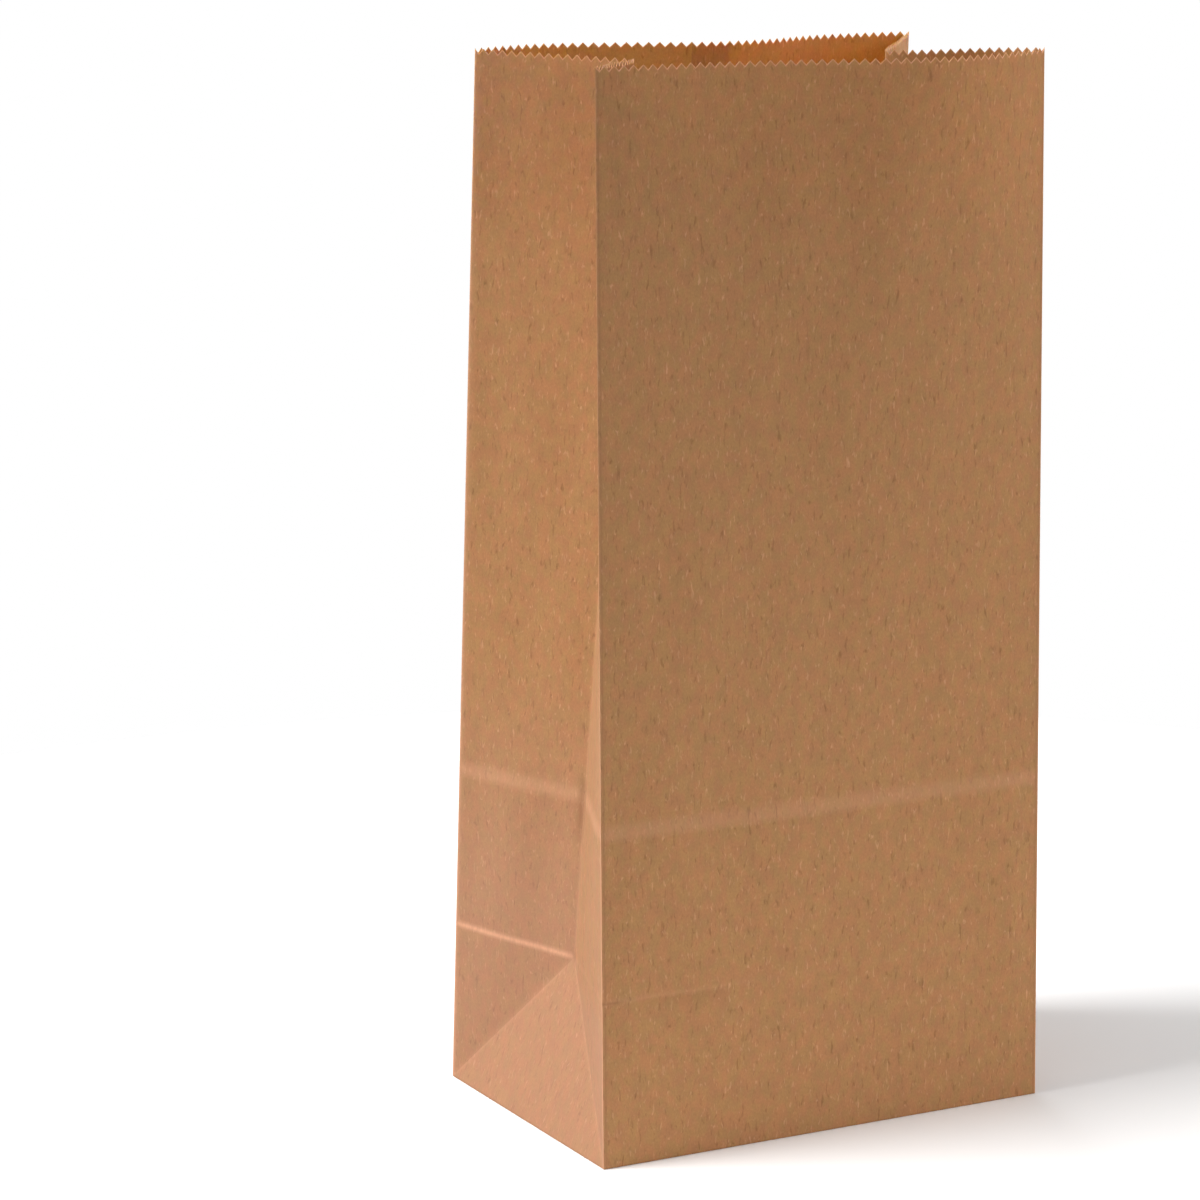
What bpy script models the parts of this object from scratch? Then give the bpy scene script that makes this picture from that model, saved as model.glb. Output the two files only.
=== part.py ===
"""Kraft paper bag with side gussets, a folded block bottom and a saw-cut mouth.

The bag is one folded and glued sheet, standing open. Lengths are metres and +Z is up.
The origin is on the floor under the middle of the base. The front panel faces -Y, the
glued seam runs up the back panel, and a gusset is tucked in on each side.
"""
import math
from collections import namedtuple

import bmesh
import bpy
from mathutils import Vector

# Sheet sizes
BAG_WIDTH = 0.1603  # fold to fold across the front
BAG_DEPTH = 0.1064  # one gusset, opened flat
BAG_HEIGHT = 0.3397  # base fold to the tips of the teeth
PAPER = 0.00012  # one layer
TOOTH_PITCH = 0.003175
TOOTH_DEPTH = 0.0016
SEAM_LAP = 0.0127
SEAM_INSET = 0.074  # back right fold to the near edge of the lap
FLAP_OVERLAP = 0.010  # how far each bottom flap runs past the middle of the base
END_FLAP_TAPER = 0.0015  # how far an inner end flap draws in at each side of its cut end

# How the opened bag stands
MOUTH_ANGLE = math.radians(41.3)  # turn of each half gusset out of the side plane
MOUTH_SWAY = Vector((0.0033, -0.0012, 0.0))
TUCK_FOOT_DEPTH = 0.018  # how far a tuck is drawn in where it starts
TUCK_FOOT_DROP = 0.001  # how far that point lies below the ends of its crease
RIGHT_TUCK_SWAY = Vector((-0.003, -0.0065, 0.0))
FRONT_WAVES = (0.0119, -0.0073, 0.0015)  # swell at the mouth in one, two and three half waves
BACK_WAVES = (-0.0029, 0.0041, 0.0065)
WAVE_FADE = 1.6  # how fast the swell dies away below the mouth
CREASE_RELIEF = 0.0007  # how far the panels stand proud between their two level creases
RELIEF_RUN_OUT = 0.012  # width over which that dies away beside an upright fold
BAND_WIDTH = 0.0062  # height of the soft crease where the flat bag's bottom ended

# Mesh
PANEL_CELLS = 12
GUSSET_CELLS = 6
EVEN_ROWS = 3  # between the two creases
UPPER_ROWS = 9  # above the soft crease
TEETH_BAND = 0.005  # from the tips down to the highest full row

KRAFT = (0.36, 0.19, 0.095, 1.0)
KRAFT_ROUGHNESS = 0.85
SHARP_FOLD = math.radians(10)  # folds sharper than this show as edges

# The flat bag's bottom was folded up on the low crease and ended at the high one
HALF_DEPTH = BAG_DEPTH / 2
LOW_CREASE = HALF_DEPTH
HIGH_CREASE = BAG_DEPTH
FLAP_LENGTH = HALF_DEPTH + FLAP_OVERLAP
FLOOR_LEVEL = 4 * PAPER  # upper side of the glued layers, where no end flap lies

Strip = namedtuple("Strip", "side surface begin length cells lap", defaults=[False])
Station = namedtuple("Station", "side place point rim full outside inside")


def upright_fold(side_x, side_y, height):
    """Point on one of the four upright folds."""
    foot = Vector((side_x * BAG_WIDTH / 2, side_y * HALF_DEPTH, 0.0))
    mouth = Vector((foot.x, foot.y * math.cos(MOUTH_ANGLE), BAG_HEIGHT)) + MOUTH_SWAY
    return foot.lerp(mouth, height / BAG_HEIGHT)


def tuck_foot(side_x):
    """Point of a gusset where its middle crease starts, on the low crease."""
    return Vector((side_x * (BAG_WIDTH / 2 - TUCK_FOOT_DEPTH), 0.0, LOW_CREASE - TUCK_FOOT_DROP))


def tuck_crease(side_x, height):
    """Point on the middle crease of a gusset, above the low crease."""
    foot = tuck_foot(side_x)
    reach = BAG_WIDTH / 2 - HALF_DEPTH * math.sin(MOUTH_ANGLE)
    mouth = Vector((side_x * reach, 0.0, foot.z)) + MOUTH_SWAY
    if side_x > 0:
        mouth += RIGHT_TUCK_SWAY
    length = BAG_HEIGHT - LOW_CREASE
    mouth.z += math.sqrt(length ** 2 - (mouth - foot).length_squared)
    return foot.lerp(mouth, (height - LOW_CREASE) / length)


def gusset_diagonal(side_x, side_y, height):
    """Point on the crease from a corner of the base up to the foot of the tuck."""
    corner = upright_fold(side_x, side_y, 0.0)
    return corner.lerp(tuck_foot(side_x), height / LOW_CREASE)


def half_gusset(side_x, side_y, across, height):
    """Point of a half gusset, with across measured from its upright fold."""
    diagonal_at = min(height, HALF_DEPTH)
    if across > diagonal_at:
        near = gusset_diagonal(side_x, side_y, height)
        far = gusset_diagonal(side_x, -side_y, height)
        return near.lerp(far, (across - diagonal_at) / (BAG_DEPTH - 2 * diagonal_at))
    fold = upright_fold(side_x, side_y, height)
    if diagonal_at <= 0.0:
        return fold
    if height > LOW_CREASE:
        inner = tuck_crease(side_x, height)
    else:
        inner = gusset_diagonal(side_x, side_y, height)
    return fold.lerp(inner, across / diagonal_at)


def swell(waves, share, height):
    """Outward swell of a panel, greatest at the mouth."""
    rise = max(0.0, (height - HIGH_CREASE) / (BAG_HEIGHT - HIGH_CREASE))
    at_mouth = sum(size * math.sin((order + 1) * math.pi * share) for order, size in enumerate(waves))
    return at_mouth * rise ** WAVE_FADE


def crease_relief(across, height):
    """How far a panel stands proud between its two level creases."""
    if height < LOW_CREASE:
        level = height / LOW_CREASE
    else:
        level = (HIGH_CREASE + BAND_WIDTH / 2 - height) / BAND_WIDTH
    edge = min(across, BAG_WIDTH - across) / RELIEF_RUN_OUT
    return CREASE_RELIEF * min(1.0, max(0.0, level)) * min(1.0, max(0.0, edge))


def panel(side_y, waves, across, height):
    """Point of the front or back panel, with across measured from its left fold."""
    left = upright_fold(-1, side_y, height)
    right = upright_fold(1, side_y, height)
    share = across / BAG_WIDTH
    point = left.lerp(right, share)
    point.y += side_y * (swell(waves, share, height) + crease_relief(across, height))
    return point


def front_panel(across, height):
    return panel(-1, FRONT_WAVES, across, height)


def back_panel(across, height):
    """The back panel, with across measured from its right fold."""
    return panel(1, BACK_WAVES, BAG_WIDTH - across, height)


def gusset_surface(side_x, side_y):
    """Surface of a half gusset, followed counterclockwise as seen from above."""
    starts_at_fold = side_x * side_y < 0

    def surface(across, height):
        from_fold = across if starts_at_fold else HALF_DEPTH - across
        return half_gusset(side_x, side_y, from_fold, height)

    return surface


def wall_strips():
    """The wall as strips, in order round the bag, counterclockwise as seen from above."""
    lap_end = SEAM_INSET + SEAM_LAP
    rest = BAG_WIDTH - lap_end
    cells_before = max(1, round(PANEL_CELLS * SEAM_INSET / BAG_WIDTH))
    cells_after = max(1, round(PANEL_CELLS * rest / BAG_WIDTH))
    return [
        Strip("front", front_panel, 0.0, BAG_WIDTH, PANEL_CELLS),
        Strip("right", gusset_surface(1, -1), 0.0, HALF_DEPTH, GUSSET_CELLS),
        Strip("right", gusset_surface(1, 1), 0.0, HALF_DEPTH, GUSSET_CELLS),
        Strip("back", back_panel, 0.0, SEAM_INSET, cells_before),
        Strip("back", back_panel, SEAM_INSET, SEAM_LAP, 1, lap=True),
        Strip("back", back_panel, lap_end, rest, cells_after),
        Strip("left", gusset_surface(-1, 1), 0.0, HALF_DEPTH, GUSSET_CELLS),
        Strip("left", gusset_surface(-1, -1), 0.0, HALF_DEPTH, GUSSET_CELLS),
    ]


def tooth_steps(length, cells):
    """Half teeth along a strip, and the ones among them where a full column stands."""
    steps = 2 * max(1, round(length / TOOTH_PITCH))
    near_half = {round(cell * steps / cells) for cell in range(cells // 2 + 1)}
    far_half = {steps - step for step in near_half}
    return steps, near_half | far_half


def wall_stations():
    """Every tip and root round the mouth, counterclockwise as seen from above.

    Outside and inside count the layers that lie on either face of the sheet. Through the
    glued lap the outer layer runs down to the level of the panel and the inner one rises
    from it, so each leaves its cut edge as a step.
    """
    stations = []
    place = 0
    for strip in wall_strips():
        steps, columns = tooth_steps(strip.length, strip.cells)
        for step in range(steps + 1 if strip.lap else steps):
            share = step / steps

            def point(height, surface=strip.surface, across=strip.begin + strip.length * share):
                return surface(across, height)

            rim = BAG_HEIGHT - TOOTH_DEPTH * (step % 2)
            full = step in columns
            if strip.lap:
                if step == 0:
                    stations.append(Station(strip.side, place, point, rim, full, 0.0, 0.0))
                stations.append(Station(strip.side, place + step, point, rim, full, 1.0 - share, share))
            else:
                stations.append(Station(strip.side, place + step, point, rim, full, 0.0, 0.0))
        place += steps
    return stations


def row_heights():
    """Heights of the full rows. Up to the low crease they meet the gussets' diagonals."""
    steps, columns = tooth_steps(HALF_DEPTH, GUSSET_CELLS)
    band_low = HIGH_CREASE - BAND_WIDTH / 2
    band_high = HIGH_CREASE + BAND_WIDTH / 2
    highest = BAG_HEIGHT - TEETH_BAND
    lower = [LOW_CREASE * step / steps for step in sorted(columns)]
    middle = [LOW_CREASE + (band_low - LOW_CREASE) * row / EVEN_ROWS for row in range(1, EVEN_ROWS + 1)]
    upper = [band_high + (highest - band_high) * row / UPPER_ROWS for row in range(UPPER_ROWS + 1)]
    return lower + middle + upper


def full_runs(stations):
    """The stations from each full column to the next, both included, round the whole bag."""
    full = [index for index, station in enumerate(stations) if station.full]
    loop = stations + [stations[0]]
    return [loop[start:end + 1] for start, end in zip(full, full[1:] + [len(stations)])]


def split_cell(left, right, low, high):
    """A cell of the wall as two triangles, counterclockwise as seen from outside.

    It is split along the diagonal that lies further in, which is where the diagonal crease
    of a gusset runs.
    """
    a, b, c, d = (left, low), (right, low), (right, high), (left, high)
    rising = abs(left.point(low).x + right.point(high).x)
    falling = abs(right.point(low).x + left.point(high).x)
    if rising < falling:
        return [[a, b, c], [a, c, d]]
    return [[a, b, d], [b, c, d]]


def split_mouth(run, low):
    """The saw-cut top of a run of stations as triangles, in the same sense.

    Each tooth between the run's ends is one triangle, and below the teeth a fan spreads from
    each lower corner.
    """
    left, right = run[0], run[-1]
    faces = []
    line = [left]
    for before, station, after in zip(run, run[1:], run[2:]):
        if station.rim < BAG_HEIGHT:
            line.append(station)
        else:
            faces.append([(before, before.rim), (after, after.rim), (station, station.rim)])
    line.append(right)
    middle = len(line) // 2
    for index, (near, far) in enumerate(zip(line, line[1:])):
        corner = left if index < middle else right
        faces.append([(corner, low), (far, far.rim), (near, near.rim)])
    faces.append([(left, low), (right, low), (line[middle], line[middle].rim)])
    return faces


def skin_faces(stations):
    """Corners of every face on one side of the wall, as pairs of a station and a height.

    They are triangles, so that the two sides of the thin sheet never bend differently.
    """
    rows = row_heights()
    faces = []
    for run in full_runs(stations):
        for low, high in zip(rows, rows[1:]):
            faces += split_cell(run[0], run[-1], low, high)
        faces += split_mouth(run, rows[-1])
    return faces


def add_face(bm, corners):
    """Add a face, leaving out corners that coincide where a layer ends."""
    distinct = list(dict.fromkeys(corners))
    if len(distinct) > 2:
        bm.faces.new(distinct)


def layer_offsets(faces):
    """The vector from the outer face of the sheet through one layer, at each wall vertex."""
    guide = bmesh.new()
    verts = {}
    for corners in faces:
        for station, height in corners:
            if (station.place, height) not in verts:
                verts[station.place, height] = guide.verts.new(station.point(height))
        add_face(guide, [verts[station.place, height] for station, height in corners])
    guide.normal_update()
    offsets = {key: vert.normal * (-PAPER * vert.calc_shell_factor()) for key, vert in verts.items()}
    guide.free()
    return offsets


def skin_vertices(bm, faces, offsets, depth_of, foot_level):
    """Vertices of one side of the wall, keyed by station and height."""
    verts = {}
    shared = {}
    for corners in faces:
        for station, height in corners:
            depth = depth_of(station)
            key = (station.place, height, depth)
            if key not in shared:
                spot = station.point(height) + offsets[station.place, height] * depth
                if height == 0.0:
                    spot.z = foot_level
                shared[key] = bm.verts.new(spot)
            verts[station, height] = shared[key]
    return verts


def side_foot(stations, verts, side):
    """The foot of one side of the wall, from its first upright fold to its last."""
    full = [station for station in stations if station.full]
    last = max(index for index, station in enumerate(full) if station.side == side)
    run = [station for station in full if station.side == side] + [full[(last + 1) % len(full)]]
    return list(dict.fromkeys(verts[station, 0.0] for station in run))


def wall_feet(stations, verts):
    """The feet of the four sides of the wall."""
    return [side_foot(stations, verts, side) for side in ("front", "right", "back", "left")]


def cut_edge(start, end, set_back):
    """A saw-cut edge from start to end, with its roots set back along a direction."""
    steps = 2 * max(1, round((end - start).length / TOOTH_PITCH))
    spots = [start.lerp(end, step / steps) for step in range(steps + 1)]
    spots[1::2] = [root + set_back * TOOTH_DEPTH for root in spots[1::2]]
    return spots


def add_step(bm, lower, upper):
    """Join two runs of vertices, one above the other, by a strip of faces."""
    for index in range(len(lower) - 1):
        add_face(bm, [lower[index + 1], lower[index], upper[index], upper[index + 1]])


def add_underside(bm, stations, verts):
    """The glued base from below: the front flap over the back flap over the gusset ends."""
    front, right, back, left = wall_feet(stations, verts)
    apex = Vector((BAG_WIDTH / 2 - HALF_DEPTH, 0.0, 0.0))
    end_x = BAG_WIDTH / 2 - FLAP_LENGTH
    end_left = Vector((-end_x, FLAP_OVERLAP, 0.0))
    end_right = Vector((end_x, FLAP_OVERLAP, 0.0))
    outline = [-apex] + cut_edge(end_left, end_right, Vector((0.0, -1.0, 0.0))) + [apex]
    front_flap = [bm.verts.new(spot) for spot in outline]
    lifts = [PAPER * (HALF_DEPTH - spot.y) / HALF_DEPTH for spot in outline]
    back_flap = [bm.verts.new((spot.x, spot.y, lift)) for spot, lift in zip(outline, lifts)]
    left_end = bm.verts.new((-apex.x, 0.0, 2 * PAPER))
    right_end = bm.verts.new((apex.x, 0.0, 2 * PAPER))
    add_face(bm, front_flap + front[::-1])
    add_face(bm, back[::-1] + back_flap[::-1])
    add_face(bm, left[::-1] + [left_end])
    add_face(bm, right[::-1] + [right_end])
    add_step(bm, front_flap, back_flap)
    add_face(bm, [front_flap[0], left[-1], left_end, back_flap[0]])
    add_face(bm, [left[0], back_flap[0], left_end])
    add_face(bm, [right[0], front_flap[-1], back_flap[-1], right_end])
    add_face(bm, [back_flap[-1], right[-1], right_end])


def add_end_flap(bm, foot, side_x):
    """A gusset's end flap on the floor of the bag. Returns the foot of its cut end."""
    cut_x = side_x * (BAG_WIDTH / 2 - FLAP_LENGTH)
    cut_y = side_x * (HALF_DEPTH - END_FLAP_TAPER)
    start = Vector((cut_x, cut_y, FLOOR_LEVEL))
    end = Vector((cut_x, -cut_y, FLOOR_LEVEL))
    spots = cut_edge(start, end, Vector((side_x, 0.0, 0.0)))
    lower = [bm.verts.new(spot) for spot in spots]
    upper = [bm.verts.new(spot + Vector((0.0, 0.0, PAPER))) for spot in spots]
    add_face(bm, foot + upper)
    add_face(bm, [upper[0], foot[-1], lower[0]])
    add_step(bm, upper, lower)
    add_face(bm, [foot[0], upper[-1], lower[-1]])
    return lower


def add_floor(bm, stations, verts):
    """The inside of the base, with the gussets' end flaps lying on the bottom flaps."""
    front, right, back, left = wall_feet(stations, verts)
    right_cut = add_end_flap(bm, right, 1)
    left_cut = add_end_flap(bm, left, -1)
    add_face(bm, front + right_cut[::-1] + back + left_cut[::-1])


def build_sheet():
    """The whole folded sheet as one closed mesh."""
    bm = bmesh.new()
    stations = wall_stations()
    faces = skin_faces(stations)
    offsets = layer_offsets(faces)
    outer = skin_vertices(bm, faces, offsets, lambda station: -station.outside, 0.0)
    inner = skin_vertices(bm, faces, offsets, lambda station: 1.0 + station.inside, FLOOR_LEVEL)
    for corners in faces:
        add_face(bm, [outer[corner] for corner in corners])
        add_face(bm, [inner[corner] for corner in reversed(corners)])
    for left, right in zip(stations, stations[1:] + stations[:1]):
        outer_edge = [outer[left, left.rim], outer[right, right.rim]]
        inner_edge = [inner[right, right.rim], inner[left, left.rim]]
        add_face(bm, outer_edge + inner_edge)
    add_underside(bm, stations, outer)
    add_floor(bm, stations, inner)
    mesh = bpy.data.meshes.new("paper_bag")
    bm.to_mesh(mesh)
    bm.free()
    mesh.shade_smooth()
    mesh.set_sharp_from_angle(angle=SHARP_FOLD)
    return mesh


def kraft_paper():
    material = bpy.data.materials.new("kraft_paper")
    material.use_nodes = True
    shader = material.node_tree.nodes["Principled BSDF"]
    shader.inputs["Base Color"].default_value = KRAFT
    shader.inputs["Roughness"].default_value = KRAFT_ROUGHNESS
    shader.inputs["Metallic"].default_value = 0.0
    return material


def main():
    for leftover in list(bpy.data.objects):
        bpy.data.objects.remove(leftover)
    mesh = build_sheet()
    mesh.materials.append(kraft_paper())
    bag = bpy.data.objects.new("paper_bag", mesh)
    bpy.context.scene.collection.objects.link(bag)


main()
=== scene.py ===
"""Looks of the kraft paper bag: the folded sheet in full detail, its paper, floor and light.

Lengths are metres in the part's own frame: +Z up, the front panel facing -Y, the origin
on the floor under the middle of the base. A place on the paper is given by its distance
along the sheet, counterclockwise from the front left fold, and its height above the base fold.
"""
import math

import bpy
import numpy as np
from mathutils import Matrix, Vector


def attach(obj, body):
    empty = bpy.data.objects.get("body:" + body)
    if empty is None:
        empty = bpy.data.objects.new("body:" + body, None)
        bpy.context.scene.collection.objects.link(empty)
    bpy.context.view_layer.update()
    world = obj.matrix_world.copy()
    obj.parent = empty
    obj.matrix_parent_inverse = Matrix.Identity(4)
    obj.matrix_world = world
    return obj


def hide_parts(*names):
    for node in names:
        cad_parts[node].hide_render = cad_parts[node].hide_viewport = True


# Sheet sizes
BAG_WIDTH = 0.1603
BAG_DEPTH = 0.1064
BAG_HEIGHT = 0.3397
PAPER = 0.00012
TOOTH_PITCH = 0.003175
TOOTH_DEPTH = 0.0016
SEAM_LAP = 0.0127
SEAM_INSET = 0.074
FLAP_OVERLAP = 0.010
END_FLAP_TAPER = 0.0015

# How the opened bag stands
MOUTH_ANGLE = math.radians(41.3)
MOUTH_SWAY = np.array((0.0033, -0.0012, 0.0))
TUCK_FOOT_DEPTH = 0.018
TUCK_FOOT_DROP = 0.001
RIGHT_TUCK_SWAY = np.array((-0.003, -0.0065, 0.0))
FRONT_WAVES = (0.0119, -0.0073, 0.0015)
BACK_WAVES = (-0.0029, 0.0041, 0.0065)
WAVE_FADE = 1.6
CREASE_RELIEF = 0.0007
RELIEF_RUN_OUT = 0.012
BAND_WIDTH = 0.0062

# Fine form
FOLD_RADIUS = 0.0004  # of the paper round a fold
FOLD_REACH = 2.4 * FOLD_RADIUS  # of the bent and rubbed paper beside a fold
FOLD_SAMPLES = ((-1, 0.25), (0, 0.5), (1, 0.25))  # steps and weights that round a fold by averaging
BASE_RADIUS = 0.0005  # round the base fold
UNEVENNESS = 0.0002  # slow waves of the dry sheet
WAVE_COUNTS = range(6, 20)  # of the slow waves round the bag
WAVE_LEAN = 60.0  # most by which their phase turns per metre of height, in radians
RIGHT_GUSSET_WAVES = (0.0008, 0.0022)
RIDGE_HEIGHT = 0.00025  # of the ridge that a pressed crease leaves
RIDGE_WIDTH = 0.0012
LOW_CREASE_REACH = 0.45  # share of the front over which its low crease fades from the left fold
LOW_CREASE_REST = 0.25  # share of the crease's strength that is left beyond
BACK_RIDGE = 0.5  # strength of the low crease's ridge on the back
GUSSET_RELIEF = 0.5  # share of the panels' relief that the gussets have
ROW_STEP = 0.0045
BASE_ROWS = (0.2, 0.5)  # rows in the round of the base fold, as shares of its radius
RIDGE_ROWS = (0.35, 0.8, 1.5)  # rows above the low crease, as shares of the ridge's width
BAND_ROWS = (-0.6, -0.4, -0.2, 0.0, 0.2, 0.4, 0.6)  # rows at the high crease, as shares of the band
SMOOTH_BELOW = math.radians(75)
SAME_PLACE = 1e-7  # two places nearer than this are one
NOT_ZERO = 1e-9  # keeps a division from failing where a width is nothing
SEED = 7

HALF_DEPTH = BAG_DEPTH / 2
LOW_CREASE = HALF_DEPTH
HIGH_CREASE = BAG_DEPTH
FLAP_LENGTH = HALF_DEPTH + FLAP_OVERLAP
FLOOR_LEVEL = 4 * PAPER

# Distance along the sheet to each upright fold, to each tuck and round the whole bag
RIGHT_START = BAG_WIDTH
RIGHT_TUCK = RIGHT_START + HALF_DEPTH
BACK_START = RIGHT_START + BAG_DEPTH
LAP_START = BACK_START + SEAM_INSET
LAP_END = LAP_START + SEAM_LAP
LEFT_START = BACK_START + BAG_WIDTH
LEFT_TUCK = LEFT_START + HALF_DEPTH
ROUND = LEFT_START + BAG_DEPTH

# Dents in the front panel: distance along, height, half width, half height, depth
DENTS = (
    (0.114, 0.240, 0.016, 0.005, 0.00045),
    (0.106, 0.247, 0.006, 0.010, 0.00030),
    (0.101, 0.281, 0.007, 0.007, -0.00030),
    (0.073, 0.141, 0.010, 0.006, 0.00030),
    (0.109, 0.150, 0.008, 0.005, -0.00025),
    (0.048, 0.225, 0.009, 0.012, 0.00025),
)

# Wear and painted highlight, from 0 for untouched paper to 1 for rubbed and lit paper
GUSSET_FOLD_WEAR_AND_HIGHLIGHT = 0.60  # of the upright folds, seen from the gusset, at the mouth: rubbed paper and painted highlight
GUSSET_FOLD_LOW_WEAR_AND_HIGHLIGHT = 0.40  # more toward the base
PANEL_FOLD_WEAR_AND_HIGHLIGHT = 0.20
EDGE_MARGIN = 0.0030  # slightly rubbed strip of a gusset beside an upright fold
MARGIN_WEAR = 0.12
GUSSET_BAND_HIGHLIGHT = 0.30  # painted highlight of the soft band at the high crease
PANEL_BAND_HIGHLIGHT = 0.22
BAND_RISE = 0.2  # of the band's lower edge, as a share of its width
BAND_FALL = 0.6  # of its upper edge
LEVEL_CREASE_WIDTH = 0.0010  # of the pale line at the low crease
LEVEL_CREASE_WEAR_AND_HIGHLIGHT = 1.00  # in the back half of a gusset, where it was pressed sharpest: rubbed paper and painted highlight
# Pale lines of the low crease and the diagonals: rubbed paper and painted highlight
FRONT_HALF_CREASE_WEAR_AND_HIGHLIGHT = 0.10
PANEL_CREASE_WEAR_AND_HIGHLIGHT = 0.14
DIAGONAL_WEAR_AND_HIGHLIGHT = 0.20
TUCK_WEAR = 0.12
RIM_LINE = 0.0006  # width of the painted highlight along the saw-cut edge
# Painted highlight along the saw-cut edge, at full strength
RIM_HIGHLIGHT = 1.0

# Pinker colour of the gussets near the base, a painted highlight tint where the light falls brightest
LOW_PINKNESS = 0.28  # share of the pinker colour
FRONT_HALF_PINKNESS = 0.5  # share of that in the front half of a gusset, above the low crease
PINK_BLUR = 0.012
PINK_START = 0.25  # where that share sets in below the low crease, as a share of its height
PINK_FADE = 2.0  # way on which it fades above the low crease, in heights of the low crease
FRONT_HALF_PINK_FADE = 3.0

# Painted shade in pinches and pressed strips beside folds and creases, and darker teeth tips: share of the
# dark colour, and sizes
BESIDE_FOLD_SHADE = 0.30  # of a panel, beside its upright folds
PINCH_SHADE = 0.5
PINCH_SIZE = 0.0014  # of the dimple at the foot of a tuck
STREAK_SHADE = 0.35  # beside the tuck, below the high crease
STREAK_WIDTH = 0.0015
STREAK_START = -0.018  # from the high crease
STREAK_FADE = 0.010
WEDGE_SHADE = 0.16  # under the front's low crease
WEDGE_START = 0.008
WEDGE_START_FADE = 0.008
WEDGE_END = 0.036
WEDGE_END_FADE = 0.020
WEDGE_STEP = 0.0006
WEDGE_DEPTH = 0.0075
STROKE_SHADE = 0.40  # in the front's low crease, next to the left fold
STROKE_END = 0.005
STROKE_FADE = 0.003
STROKE_DROP = 0.0004
STROKE_WIDTH = 0.0005
TIP_SHADE = 0.15  # of the saw teeth's tips

# Colours of the paper, linear
REDDISH = (0.432, 0.197, 0.082, 1.0)
OLIVE = (0.408, 0.210, 0.080, 1.0)
# Dark fibres, and the colour of the painted shade
DARK_FIBRE_AND_SHADE = (0.18, 0.075, 0.025, 1.0)
PALE_FIBRE = (0.64, 0.34, 0.18, 1.0)
PINKISH = (0.466, 0.252, 0.207, 1.0)
# Rubbed paper, and the colour of the painted highlight
RUBBED_AND_HIGHLIGHT = (0.72, 0.37, 0.22, 1.0)

# Surface of the paper
SPECULAR = 0.35
BUMP_STRENGTH = 0.6
BUMP_HEIGHT = 0.00012
PALE_FIBRE_RELIEF = 0.6  # height of the fibres and the grain, as a share of the clouds'
GRAIN_RELIEF = 0.4

# Width and height of the cells of the paper's texture
CLOUD_CELL = (0.0050, 0.0070)
HUE_CELL = (0.0040, 0.0058)
DARK_FIBRE_CELL = (0.0012, 0.0042)
PALE_FIBRE_CELL = (0.0009, 0.0030)
GRAIN_CELL = (0.0005, 0.0009)

# Range of the noise over which a fibre shows, and the share of its colour from nothing to full
DARK_FIBRES = (0.56, 0.76, 0.0, 0.50)
PALE_FIBRES = (0.58, 0.78, 0.0, 0.58)

# Range of the noise over which the colour turns from reddish to olive, and of all other noise
HUE_RANGE = (0.38, 0.62)
NOISE_RANGE = (0.3, 0.7)

# What the noise does to the paper, from its lowest to its highest
CLOUD_SHADE = (0.93, 1.07)  # times the colour
GRAIN_SHADE = (0.95, 1.05)
WEAR_AND_HIGHLIGHT_PATCHES = (0.7, 1.0)  # times the wear and painted highlight
ROUGHNESS = (0.78, 0.92)

# Distance that red, green and blue light scatters in the paper
SCATTER_LENGTHS = (0.00050, 0.00042, 0.00012)

# Light comes through the paper near the mouth, where it falls on both sides
TRANSLUCENT_FROM = 0.27
TRANSLUCENT_FULLY = 0.31
FRONT_TRANSLUCENCE = 0.3  # the front lets through less than the back
GLUED_SCATTER = 1.7  # glue fills the pores of the lap, so light goes further in it
LAP_BLUR = 0.0004

# Floor and light
FLOOR_RADIUS = 0.55
FLOOR_CORNERS = 96
FLOOR_COLOUR = (0.85, 0.85, 0.85, 1.0)
WHITE = (1.0, 1.0, 1.0, 1.0)

# Name, place, width and power of each lamp
LAMPS = (
    ("left_softbox", (-1.1, 0.3, 1.5), 0.8, 40.0),
    ("back_softbox", (0.2, 1.8, 0.3), 1.0, 24.0),
    ("right_softbox", (1.2, -1.5, 0.9), 1.0, 12.0),
    ("low_softbox", (0.8, -0.95, 0.15), 0.25, 4.1),
    ("top_softbox", (0.0, 0.0, 2.1), 1.4, 15.0),
)
ROOM_LIGHT = 0.05

# Camera
CAMERA_AZIMUTH = math.radians(-28.10)
CAMERA_ELEVATION = math.radians(11.64)
CAMERA_DISTANCE = 1.378
CAMERA_AIM = Vector((-0.0419, 0.0208, 0.1633))
SENSOR_MM = 36.0
LENS_MM = 128.65


def mix(a, b, share):
    """Points on the way from a to b."""
    return a + (b - a) * np.asarray(share)[..., None]


def smooth(share):
    """Eased step from 0 to 1."""
    share = np.clip(share, 0.0, 1.0)
    return share * share * (3.0 - 2.0 * share)


def upright_fold(side_x, side_y, height):
    """The fold between a panel and a gusset, from the base to the mouth."""
    foot = np.array((side_x * BAG_WIDTH / 2, side_y * HALF_DEPTH, 0.0))
    mouth = np.array((foot[0], foot[1] * math.cos(MOUTH_ANGLE), BAG_HEIGHT)) + MOUTH_SWAY
    return mix(foot, mouth, height / BAG_HEIGHT)


def tuck_foot(side_x):
    """The point where a gusset's diagonals, low crease and tuck meet."""
    return np.array((side_x * (BAG_WIDTH / 2 - TUCK_FOOT_DEPTH), 0.0, LOW_CREASE - TUCK_FOOT_DROP))


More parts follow.
